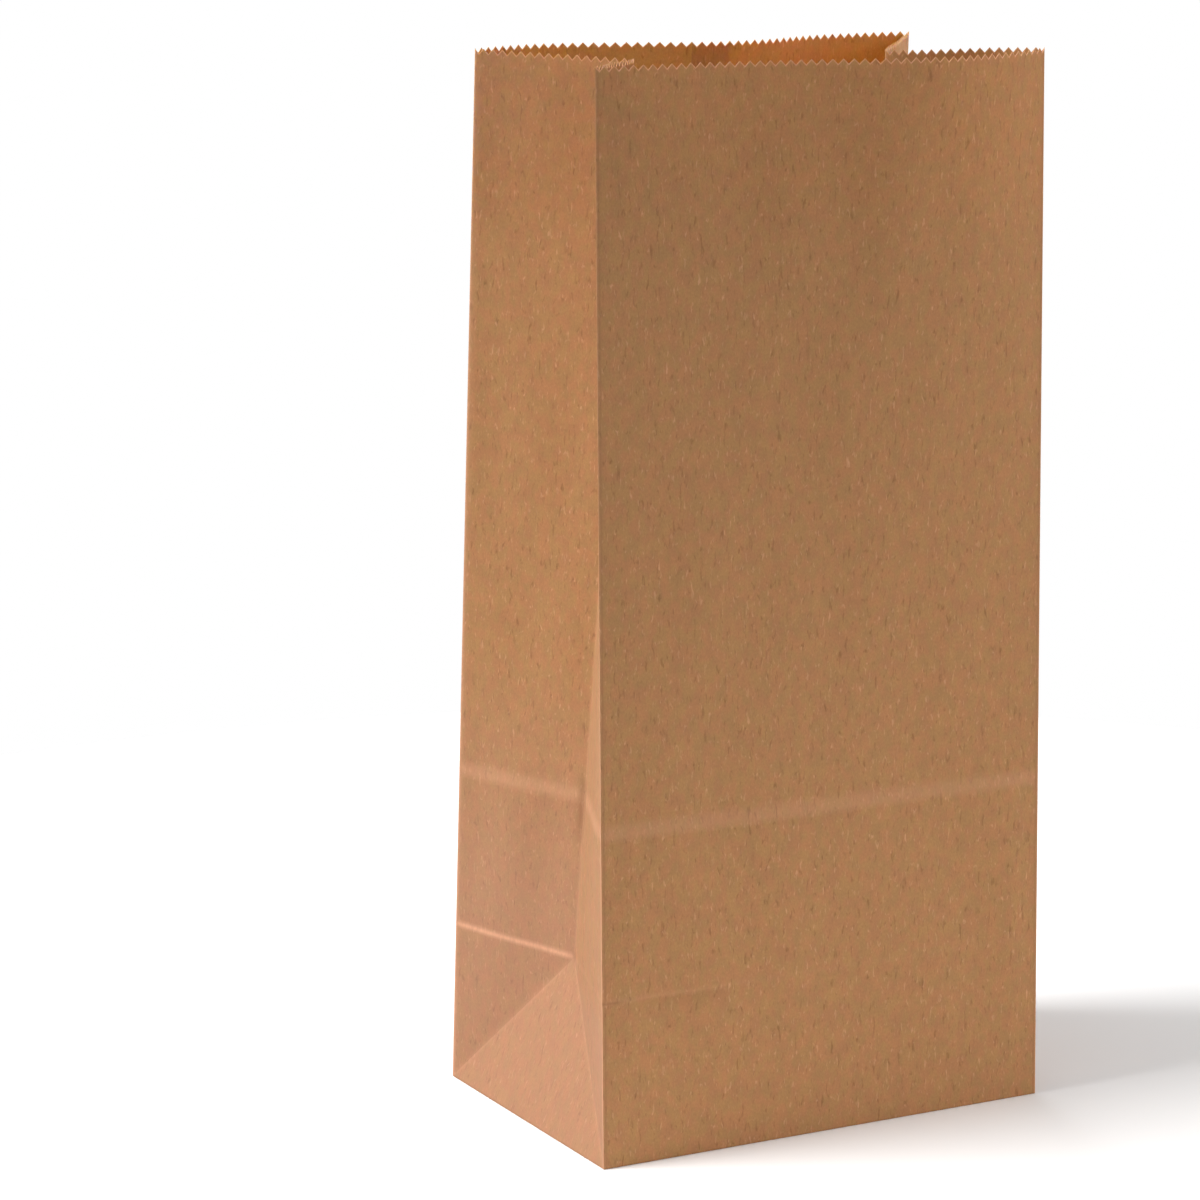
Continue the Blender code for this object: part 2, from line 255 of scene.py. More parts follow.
def tuck_crease(side_x, height):
    """The middle crease of a gusset, above the low crease."""
    foot = tuck_foot(side_x)
    reach = BAG_WIDTH / 2 - HALF_DEPTH * math.sin(MOUTH_ANGLE)
    mouth = np.array((side_x * reach, 0.0, foot[2])) + MOUTH_SWAY
    if side_x > 0:
        mouth = mouth + RIGHT_TUCK_SWAY
    length = BAG_HEIGHT - LOW_CREASE
    mouth[2] += math.sqrt(length ** 2 - ((mouth - foot) ** 2).sum())
    return mix(foot, mouth, (height - LOW_CREASE) / length)


def gusset_diagonal(side_x, side_y, height):
    """The crease from a corner of the base up to the foot of the tuck."""
    corner = np.array((side_x * BAG_WIDTH / 2, side_y * HALF_DEPTH, 0.0))
    return mix(corner, tuck_foot(side_x), height / LOW_CREASE)


def half_gusset(side_x, side_y, across, height):
    """Points of a half gusset, with across measured from its upright fold."""
    diagonal_at = np.clip(height, NOT_ZERO, HALF_DEPTH)
    near = gusset_diagonal(side_x, side_y, np.minimum(height, LOW_CREASE))
    far = gusset_diagonal(side_x, -side_y, np.minimum(height, LOW_CREASE))
    span = np.maximum(BAG_DEPTH - 2 * diagonal_at, NOT_ZERO)
    triangle = mix(near, far, (across - diagonal_at) / span)
    above = (height > LOW_CREASE)[..., None]
    inner = np.where(above, tuck_crease(side_x, height), near)
    facet = mix(upright_fold(side_x, side_y, height), inner, across / diagonal_at)
    return np.where((across > diagonal_at)[..., None], triangle, facet)


def swell(waves, share, height):
    """Outward swell of a strip of paper, greatest at the mouth."""
    rise = np.clip((height - HIGH_CREASE) / (BAG_HEIGHT - HIGH_CREASE), 0.0, None)
    at_mouth = sum(size * np.sin((order + 1) * math.pi * share) for order, size in enumerate(waves))
    return at_mouth * rise ** WAVE_FADE


def crease_relief(across, height):
    """How far a panel stands proud between its two level creases."""
    rising = np.clip(height / LOW_CREASE, 0.0, 1.0)
    falling = smooth((HIGH_CREASE + BAND_WIDTH / 2 - height) / BAND_WIDTH)
    edge = smooth(np.minimum(across, BAG_WIDTH - across) / RELIEF_RUN_OUT)
    return CREASE_RELIEF * rising * falling * edge


def panel(side_y, waves, across, height):
    """Points of the front or back panel, with across measured from its left fold."""
    share = across / BAG_WIDTH
    points = mix(upright_fold(-1, side_y, height), upright_fold(1, side_y, height), share)
    points[..., 1] += side_y * (swell(waves, share, height) + crease_relief(across, height))
    return points


def sheet_points(along, height):
    """Points of the sheet with sharp folds."""
    along, height = np.broadcast_arrays(np.mod(along, ROUND), height)
    strips = (
        (0.0, RIGHT_START, lambda a, h: panel(-1, FRONT_WAVES, a, h)),
        (RIGHT_START, RIGHT_TUCK, lambda a, h: half_gusset(1, -1, a, h)),
        (RIGHT_TUCK, BACK_START, lambda a, h: half_gusset(1, 1, HALF_DEPTH - a, h)),
        (BACK_START, LEFT_START, lambda a, h: panel(1, BACK_WAVES, BAG_WIDTH - a, h)),
        (LEFT_START, LEFT_TUCK, lambda a, h: half_gusset(-1, 1, a, h)),
        (LEFT_TUCK, ROUND, lambda a, h: half_gusset(-1, -1, HALF_DEPTH - a, h)),
    )
    points = np.zeros(along.shape + (3,))
    for start, end, surface in strips:
        here = (along >= start) & (along < end)
        points[here] = surface(along[here] - start, height[here])
    return points


def rounded_points(along, height):
    """Points of the sheet with its folds rounded by averaging over a small patch."""
    total = 0.0
    for step_along, weight_along in FOLD_SAMPLES:
        for step_up, weight_up in FOLD_SAMPLES:
            spot = sheet_points(along + step_along * FOLD_RADIUS, height + step_up * FOLD_RADIUS)
            total = total + spot * (weight_along * weight_up)
    return total


def outward(along, height):
    """Outward unit normals of the sheet."""
    step = FOLD_RADIUS
    sideways = sheet_points(along + step, height) - sheet_points(along - step, height)
    upward = sheet_points(along, height + step) - sheet_points(along, height - step)
    normal = np.cross(sideways, upward)
    return normal / np.linalg.norm(normal, axis=-1, keepdims=True)


def upright_distance(along):
    """Distance along the sheet to the nearest upright fold."""
    folds = np.array((0.0, RIGHT_START, BACK_START, LEFT_START, ROUND))
    return np.abs(along[..., None] - folds).min(axis=-1)


def tuck_distance(along):
    """Distance along the sheet to the middle of the nearest gusset."""
    tucks = np.array((RIGHT_TUCK, LEFT_TUCK))
    return np.abs(along[..., None] - tucks).min(axis=-1)


def fold_distance(along, height):
    """Distance along the sheet to the nearest upright fold or, above the low crease, tuck."""
    to_fold = upright_distance(along)
    above = height > LOW_CREASE - RIDGE_WIDTH
    return np.where(above, np.minimum(to_fold, tuck_distance(along)), to_fold)


def gusset_across(along):
    """Distance from the nearer upright fold of a gusset, or a negative number on a panel."""
    across = np.full(along.shape, -1.0)
    for start in (RIGHT_START, LEFT_START):
        inside = (along >= start) & (along <= start + BAG_DEPTH)
        nearer = np.minimum(along - start, start + BAG_DEPTH - along)
        across = np.where(inside, nearer, across)
    return across


def in_front_half(along):
    """True in the half of a gusset that lies at the front panel."""
    return (along > LEFT_TUCK) | ((along > RIGHT_START) & (along < RIGHT_TUCK))


def slow_waves(along, height):
    """Gentle unevenness of a dry sheet, zero on the folds."""
    rng = np.random.default_rng(SEED)
    total = np.zeros(along.shape)
    for cycles in WAVE_COUNTS:
        phase = rng.uniform(0.0, 2 * math.pi)
        lean = rng.uniform(-WAVE_LEAN, WAVE_LEAN)
        total += np.sin(2 * math.pi * cycles * along / ROUND + lean * height + phase)
    edge = smooth(fold_distance(along, height) / RELIEF_RUN_OUT)
    rise = smooth(height / LOW_CREASE)
    return UNEVENNESS * edge * rise * total * math.sqrt(2 / len(WAVE_COUNTS))


def ridge(distance, width):
    """Round-topped bump, 1 in its middle."""
    return np.exp(-(distance / width) ** 2)


def fine_offset(along, height):
    """Small outward offsets of the sheet: unevenness, pressed creases and dents."""
    offset = slow_waves(along, height)
    for place, level, half_width, half_height, depth in DENTS:
        offset -= depth * ridge(along - place, half_width) * ridge(height - level, half_height)
    on_panel = gusset_across(along) < 0
    pressed = np.where(along < BAG_WIDTH, low_crease_fading(along), BACK_RIDGE)
    offset += np.where(on_panel, RIDGE_HEIGHT * pressed * ridge(height - LOW_CREASE, RIDGE_WIDTH), 0.0)
    share = (along - RIGHT_START) / HALF_DEPTH
    in_right_half = (share > 0) & (share < 1)
    offset += np.where(in_right_half, swell(RIGHT_GUSSET_WAVES, share, height), 0.0)
    band = smooth((HIGH_CREASE + BAND_WIDTH / 2 - height) / BAND_WIDTH)
    band = band * smooth((height - LOW_CREASE) / BAND_WIDTH)
    edge = smooth(fold_distance(along, height) / RELIEF_RUN_OUT)
    offset += np.where(on_panel, 0.0, GUSSET_RELIEF * CREASE_RELIEF * band * edge)
    return offset


def low_crease_fading(along):
    """The front panel's low crease is sharpest near the left fold."""
    near = 1 - smooth(along / (LOW_CREASE_REACH * BAG_WIDTH))
    return LOW_CREASE_REST + (1 - LOW_CREASE_REST) * near


def upper_band(height):
    """The soft band of the high crease, sharp below and fading upward."""
    rising = smooth((height - HIGH_CREASE + BAND_WIDTH / 2) / (BAND_RISE * BAND_WIDTH))
    return rising * (1 - smooth((height - HIGH_CREASE) / (BAND_FALL * BAND_WIDTH)))


def crease_wear_and_highlight(along, height):
    """How pale the paper is along its folds, creases and cut edge, from 0 to 1: rubbed paper and painted
    highlight.
    """
    across = gusset_across(along)
    on_gusset = across >= 0
    lowness = 1 - smooth(height / BAG_HEIGHT)
    folds = np.where(on_gusset, GUSSET_FOLD_WEAR_AND_HIGHLIGHT + GUSSET_FOLD_LOW_WEAR_AND_HIGHLIGHT * lowness, PANEL_FOLD_WEAR_AND_HIGHLIGHT)
    folds = folds * ridge(upright_distance(along), FOLD_REACH)
    margin = MARGIN_WEAR * (1 - smooth((across - EDGE_MARGIN / 2) / (EDGE_MARGIN / 2)))
    wear_and_highlight = np.where(on_gusset, margin, 0.0)
    wear_and_highlight = wear_and_highlight + np.where(on_gusset, GUSSET_BAND_HIGHLIGHT, PANEL_BAND_HIGHLIGHT) * upper_band(height)
    on_halves = np.where(in_front_half(along), FRONT_HALF_CREASE_WEAR_AND_HIGHLIGHT, LEVEL_CREASE_WEAR_AND_HIGHLIGHT)
    level = np.where(on_gusset, on_halves, PANEL_CREASE_WEAR_AND_HIGHLIGHT * low_crease_fading(along))
    low = ridge(height - LOW_CREASE, LEVEL_CREASE_WIDTH)
    diagonal = ridge(across - height, RIDGE_WIDTH) * (height <= LOW_CREASE)
    tuck = TUCK_WEAR * ridge(tuck_distance(along), 2 * FOLD_RADIUS) * (height > LOW_CREASE)
    wear_and_highlight = np.maximum(wear_and_highlight, folds)
    wear_and_highlight = np.maximum(wear_and_highlight, level * low)
    wear_and_highlight = np.maximum(wear_and_highlight, np.where(on_gusset, DIAGONAL_WEAR_AND_HIGHLIGHT * diagonal, 0.0))
    return np.clip(np.maximum(wear_and_highlight, tuck), 0.0, 1.0)


def low_pinkness(along, height):
    """How much of the pinker colour the gussets show near the base."""
    rise = (height - LOW_CREASE) / LOW_CREASE
    in_front = in_front_half(along)
    aside = in_front * smooth(tuck_distance(along) / PINK_BLUR)
    below = 1 - (1 - FRONT_HALF_PINKNESS) * aside * smooth(1 + rise / PINK_START)
    above_front = FRONT_HALF_PINKNESS * (1 - smooth(rise / FRONT_HALF_PINK_FADE))
    above = np.where(in_front, above_front, 1 - smooth(rise / PINK_FADE))
    fading = np.where(rise > 0, above, below)
    return np.where(gusset_across(along) >= 0, LOW_PINKNESS * fading, 0.0)


def painted_crease_shade(along, height):
    """How much painted shade darkens the paper where it is pinched or pressed inward, from 0 to 1."""
    on_panel = gusset_across(along) < 0
    beside_fold = ridge(upright_distance(along) - FOLD_REACH, FOLD_REACH / 2)
    shade = np.where(on_panel, BESIDE_FOLD_SHADE * beside_fold, 0.0)
    pinch = ridge(tuck_distance(along), PINCH_SIZE) * ridge(height - LOW_CREASE, PINCH_SIZE)
    shade = np.maximum(shade, PINCH_SHADE * pinch)
    above = height - HIGH_CREASE
    streak = smooth((above - STREAK_START) / STREAK_FADE) * (1 - smooth(above / STREAK_FADE))
    streak = streak * ridge(tuck_distance(along) - STREAK_WIDTH, STREAK_WIDTH)
    shade = np.maximum(shade, STREAK_SHADE * streak)
    below = LOW_CREASE - height
    wedge = smooth(below / WEDGE_STEP) * (1 - smooth(below / WEDGE_DEPTH))
    wedge = wedge * smooth((along - WEDGE_START) / WEDGE_START_FADE)
    wedge = wedge * (1 - smooth((along - WEDGE_END) / WEDGE_END_FADE))
    shade = np.maximum(shade, np.where(on_panel, WEDGE_SHADE * wedge, 0.0))
    stroke = (1 - smooth((along - STROKE_END) / STROKE_FADE)) * ridge(below - STROKE_DROP, STROKE_WIDTH)
    return np.maximum(shade, np.where(on_panel, STROKE_SHADE * stroke, 0.0))


def strip_spans():
    """Start and end of each strip of the sheet from fold to fold, with the lap as one of them."""
    folds = (0.0, RIGHT_START, RIGHT_TUCK, BACK_START, LAP_START, LAP_END, LEFT_START, LEFT_TUCK, ROUND)
    return list(zip(folds, folds[1:]))


def tooth_steps(length):
    """Half teeth along an edge of that length."""
    return 2 * max(1, round(length / TOOTH_PITCH))


def columns():
    """Place along the sheet, rim height, and layers lying outside and inside, for each column.

    Through the glued lap the outer layer runs down to the level of the panel and the inner
    one rises from it, so each leaves its cut edge as a step.
    """
    result = []
    for start, end in strip_spans():
        steps = tooth_steps(end - start)
        places = [(end - start) * step / steps for step in range(steps)]
        is_lap = start == LAP_START
        if not is_lap:
            places += [FOLD_RADIUS, FOLD_REACH, end - start - FOLD_REACH, end - start - FOLD_RADIUS]
        for place in sorted(places):
            phase = place / (end - start) * steps
            rim = BAG_HEIGHT - TOOTH_DEPTH * min(phase % 2, 2 - phase % 2)
            share = place / SEAM_LAP if is_lap else 0.0
            if is_lap and place == 0.0:
                result.append((start, rim, 0.0, 0.0))
            result.append((start + place, rim, 1.0 - share if is_lap else 0.0, share))
        if is_lap:
            result.append((end, BAG_HEIGHT, 0.0, 1.0))
    return np.array(result).T


def rows():
    """Heights of the rows. Up to the low crease they meet the gussets' diagonals."""
    steps = tooth_steps(HALF_DEPTH)
    lower = [HALF_DEPTH * step / steps for step in range(steps + 1)]
    lower += [share * BASE_RADIUS for share in BASE_ROWS]
    lower += [FOLD_RADIUS, FOLD_REACH]
    lower += [HALF_DEPTH - FOLD_REACH, HALF_DEPTH - FOLD_RADIUS]
    fine = [LOW_CREASE + RIDGE_WIDTH * share for share in RIDGE_ROWS]
    fine += [HIGH_CREASE + BAND_WIDTH * share for share in BAND_ROWS]
    top = BAG_HEIGHT - 2 * TOOTH_DEPTH
    count = round((top - LOW_CREASE) / ROW_STEP)
    even = [LOW_CREASE + (top - LOW_CREASE) * step / count for step in range(1, count + 1)]
    even = [height for height in even if min(abs(height - other) for other in fine) > ROW_STEP / 4]
    return np.array(sorted(lower + fine + even))


class Sheet:
    """Vertices and faces of the sheet, with a place on the paper for each corner of a face."""

    def __init__(self):
        self.spots = []
        self.wear_and_highlight = []
        self.shade = []
        self.pink = []
        self.creased = []
        self.faces = []
        self.places = []

    def add_spots(self, spots, wear_and_highlight=0.0, shade=0.0, pink=0.0, creased=False):
        """Add vertices with their looks. Returns their indices."""
        first = len(self.spots)
        self.spots += [tuple(spot) for spot in spots]
        self.wear_and_highlight += list(np.broadcast_to(wear_and_highlight, len(spots)))
        self.shade += list(np.broadcast_to(shade, len(spots)))
        self.pink += list(np.broadcast_to(pink, len(spots)))
        self.creased += list(np.broadcast_to(creased, len(spots)))
        return list(range(first, len(self.spots)))

    def add_face(self, corners, places=None):
        """Add a face, leaving out corners that coincide where a layer ends."""
        if places is None:
            places = [self.spots[corner][:2] for corner in corners]
        distinct = dict(zip(corners, places))
        if len(distinct) > 2:
            self.faces.append(list(distinct))
            self.places += distinct.values()

    def add_strip(self, lower, upper):
        """Add the faces between two rows of vertices."""
        for index in range(len(lower) - 1):
            self.add_face([lower[index + 1], lower[index], upper[index], upper[index + 1]])

    def mesh(self, name):
        """The finished mesh, with the places and looks as attributes and the creases sharp."""
        mesh = bpy.data.meshes.new(name)
        mesh.from_pydata(self.spots, [], self.faces)
        places = mesh.attributes.new("place", "FLOAT_VECTOR", "CORNER")
        flat = np.array([(x, y, 0.0) for x, y in self.places], dtype=np.float32)
        places.data.foreach_set("vector", flat.ravel())
        for look, values in (("wear_and_highlight", self.wear_and_highlight), ("shade", self.shade), ("pink", self.pink)):
            attribute = mesh.attributes.new(look, "FLOAT", "POINT")
            attribute.data.foreach_set("value", np.array(values, dtype=np.float32))
        mesh.shade_smooth()
        mesh.set_sharp_from_angle(angle=SMOOTH_BELOW)
        for edge in mesh.edges:
            if all(self.creased[corner] for corner in edge.vertices):
                edge.use_edge_sharp = True
        return mesh


def wall_skins(sheet):
    """The outer and inner side of the wall. Returns the feet of both, column by column."""
    along, rim, outside, inside = columns()
    levels = rows()
    height = np.hstack([np.tile(levels, (len(along), 1)), rim[:, None] - RIM_LINE, rim[:, None]])
    levels = np.append(levels, [BAG_HEIGHT, BAG_HEIGHT])
    spread = np.broadcast_to(along[:, None], height.shape)
    normal = outward(spread, height)
    middle = rounded_points(spread, height) + normal * fine_offset(spread, height)[..., None]
    wear_and_highlight = crease_wear_and_highlight(spread, height)
    shade = painted_crease_shade(spread, height)
    pink = low_pinkness(spread, height)
    creased = (np.abs(gusset_across(spread) - height) < SAME_PLACE) & (height < LOW_CREASE + SAME_PLACE)
    tip = 1 - (BAG_HEIGHT - rim) / TOOTH_DEPTH
    # Painted highlight along the cut edge, and darker tips of the teeth
    wear_and_highlight[:, -1] = RIM_HIGHLIGHT
    shade[:, -1] = TIP_SHADE * tip
    turn = np.clip(1 - height / BASE_RADIUS, 0.0, 1.0) * math.pi / 2
    drawn_in = BASE_RADIUS * (1 - np.cos(turn))
    skins = []
    for layers, foot_level in ((outside, 0.0), (-1.0 - inside, FLOOR_LEVEL)):
        spots = middle + normal * (layers[:, None] * PAPER - drawn_in)[..., None]
        low = height < BASE_RADIUS
        rise = 1 - np.sin(turn)
        spots[..., 2] = np.where(low, foot_level + (BASE_RADIUS - foot_level) * rise, spots[..., 2])
        indices = []
        for column in range(len(along)):
            same_place = column > 0 and along[column] == along[column - 1]
            if same_place and layers[column] == layers[column - 1]:
                indices.append(indices[-1])
                continue
            looks = (wear_and_highlight[column], shade[column], pink[column], creased[column])
            indices.append(sheet.add_spots(spots[column], *looks))
        skins.append(indices)
    outer, inner = skins
    following = list(range(1, len(along))) + [0]
    for left, right in enumerate(following):
        far = ROUND if right == 0 else along[right]
        rising = half_rises(along[left])
        for low in range(height.shape[1] - 1):
            corners = [(left, low), (right, low), (right, low + 1), (left, low + 1)]
            places = [(along[left], height[left, low]), (far, height[right, low])]
            places += [(far, height[right, low + 1]), (along[left], height[left, low + 1])]
            for order in cell_orders(levels[low], rising):
                picked = [corners[index] for index in order]
                spots = [places[index] for index in order]
                sheet.add_face([outer[column][row] for column, row in picked], spots)
                sheet.add_face([inner[column][row] for column, row in reversed(picked)], spots[::-1])
        top = [(along[left], rim[left]), (far, rim[right])]
        edge = [outer[left][-1], outer[right][-1], inner[right][-1], inner[left][-1]]
        sheet.add_face(edge, top + top[::-1])
    return along, [column[0] for column in outer], [column[0] for column in inner]


def half_rises(place):
    """True where the diagonal crease of a gusset rises along the sheet, and None on a panel."""
    if RIGHT_START <= place < RIGHT_TUCK or LEFT_START <= place < LEFT_TUCK:
        return True
    if RIGHT_TUCK <= place < BACK_START or place >= LEFT_TUCK:
        return False
    return None


def cell_orders(level, rising):
    """Corners of the faces of a cell, split along a gusset's diagonal below the low crease."""
    if rising is None or level >= LOW_CREASE:
        return [(0, 1, 2, 3)]
    if rising:
        return [(0, 1, 2), (0, 2, 3)]
    return [(0, 1, 3), (1, 2, 3)]


def wall_feet(along, feet):
    """The feet of the front, right, back and left wall, each from fold to fold."""
    sides = []
    folds = (0.0, RIGHT_START, BACK_START, LEFT_START, ROUND)
    for start, end in zip(folds, folds[1:]):
        run = [feet[index] for index, place in enumerate(along) if start <= place <= end]
        if end == ROUND:
            run.append(feet[0])
        sides.append(list(dict.fromkeys(run)))
    return sides


def cut_edge(start, end, set_back):
    """A saw-cut edge from start to end, with its roots set back along a direction."""
    steps = tooth_steps((end - start).length)
    spots = [start.lerp(end, step / steps) for step in range(steps + 1)]
    spots[1::2] = [root + set_back * TOOTH_DEPTH for root in spots[1::2]]
    return spots


def add_underside(sheet, feet):
    """The glued base from below: the front flap over the back flap over the gusset ends."""
    front, right, back, left = feet
    apex = Vector((BAG_WIDTH / 2 - HALF_DEPTH, 0.0, 0.0))
    end_x = BAG_WIDTH / 2 - FLAP_LENGTH
    end_left = Vector((-end_x, FLAP_OVERLAP, 0.0))
    end_right = Vector((end_x, FLAP_OVERLAP, 0.0))
    outline = [-apex] + cut_edge(end_left, end_right, Vector((0.0, -1.0, 0.0))) + [apex]
    front_flap = sheet.add_spots(outline)
    lifts = [PAPER * (HALF_DEPTH - spot.y) / HALF_DEPTH for spot in outline]
    back_flap = sheet.add_spots([(spot.x, spot.y, lift) for spot, lift in zip(outline, lifts)])
    left_end, right_end = sheet.add_spots([(-apex.x, 0.0, 2 * PAPER), (apex.x, 0.0, 2 * PAPER)])
    sheet.add_face(front_flap + front[::-1])
    sheet.add_face(back[::-1] + back_flap[::-1])
    sheet.add_face(left[::-1] + [left_end])
    sheet.add_face(right[::-1] + [right_end])
    sheet.add_strip(front_flap, back_flap)
    sheet.add_face([front_flap[0], left[-1], left_end, back_flap[0]])
    sheet.add_face([left[0], back_flap[0], left_end])
    sheet.add_face([right[0], front_flap[-1], back_flap[-1], right_end])
    sheet.add_face([back_flap[-1], right[-1], right_end])


def add_end_flap(sheet, foot, side_x):
    """A gusset's end flap on the floor of the bag. Returns the foot of its cut end."""
    cut_x = side_x * (BAG_WIDTH / 2 - FLAP_LENGTH)
    cut_y = side_x * (HALF_DEPTH - END_FLAP_TAPER)
    start = Vector((cut_x, cut_y, FLOOR_LEVEL))
    end = Vector((cut_x, -cut_y, FLOOR_LEVEL))
    spots = cut_edge(start, end, Vector((side_x, 0.0, 0.0)))
    lower = sheet.add_spots(spots)
    upper = sheet.add_spots([spot + Vector((0.0, 0.0, PAPER)) for spot in spots])
    sheet.add_face(foot + upper)
    sheet.add_face([upper[0], foot[-1], lower[0]])
    sheet.add_strip(upper, lower)
    sheet.add_face([foot[0], upper[-1], lower[-1]])
    return lower


def add_floor(sheet, feet):
    """The inside of the base, with the gussets' end flaps lying on the bottom flaps."""
    front, right, back, left = feet
    right_cut = add_end_flap(sheet, right, 1)
    left_cut = add_end_flap(sheet, left, -1)
    sheet.add_face(front + right_cut[::-1] + back + left_cut[::-1])


def build_bag():
    """The whole sheet as one object."""
    sheet = Sheet()
    along, outer_feet, inner_feet = wall_skins(sheet)
    add_underside(sheet, wall_feet(along, outer_feet))
    add_floor(sheet, wall_feet(along, inner_feet))
    bag = bpy.data.objects.new("kraft_bag", sheet.mesh("kraft_bag"))
    bpy.context.scene.collection.objects.link(bag)
    return bag


class Shading:
    """Adds nodes to a material and links them, so that each step of a shader is one call."""

    def __init__(self, material):
        material.use_nodes = True
        self.tree = material.node_tree
        self.shader = self.tree.nodes["Principled BSDF"]

    def add(self, kind, **settings):
        node = self.tree.nodes.new(kind)
        for name, value in settings.items():
            setattr(node, name, value)
        return node

    def feed(self, socket, value):
        """Link an output to a socket, or set the socket to a plain value."""
        if isinstance(value, bpy.types.NodeSocket):
            self.tree.links.new(value, socket)
        else:
            socket.default_value = value

    def attribute(self, name, output):
        """A look or place that is stored in the mesh."""
        return self.add("ShaderNodeAttribute", attribute_name=name).outputs[output]

    def math(self, operation, *values):
        node = self.add("ShaderNodeMath", operation=operation)
        for socket, value in zip(node.inputs, values):
            self.feed(socket, value)
        return node.outputs[0]

    def scaled(self, vector, sizes, shift=(0.0, 0.0, 0.0)):
        """A place on the paper counted in cells of the given width and height."""
        node = self.add("ShaderNodeMapping")
        self.feed(node.inputs["Vector"], vector)
        node.inputs["Scale"].default_value = (1 / sizes[0], 1 / sizes[1], 1.0)
        node.inputs["Location"].default_value = shift
        return node.outputs[0]

    def noise(self, vector, detail=2.0, roughness=0.5, distortion=0.0):
        node = self.add("ShaderNodeTexNoise", noise_dimensions="3D")
        self.feed(node.inputs["Vector"], vector)
        node.inputs["Scale"].default_value = 1.0
        node.inputs["Detail"].default_value = detail
        node.inputs["Roughness"].default_value = roughness
        node.inputs["Distortion"].default_value = distortion
        return node.outputs["Fac"]

    def spread(self, value, low, high, to_low=0.0, to_high=1.0):
        """A value carried from one range to another by a smooth step."""
        node = self.add("ShaderNodeMapRange", clamp=True, interpolation_type="SMOOTHSTEP")
        for name, entry in (("Value", value), ("From Min", low), ("From Max", high)):
            self.feed(node.inputs[name], entry)
        node.inputs["To Min"].default_value = to_low
        node.inputs["To Max"].default_value = to_high
        return node.outputs[0]

    def blend(self, factor, first, second):
        """A colour between two others."""
        node = self.add("ShaderNodeMix", data_type="RGBA")
        self.feed(node.inputs["Factor"], factor)
        self.feed(node.inputs["A"], first)
        self.feed(node.inputs["B"], second)
        return node.outputs["Result"]


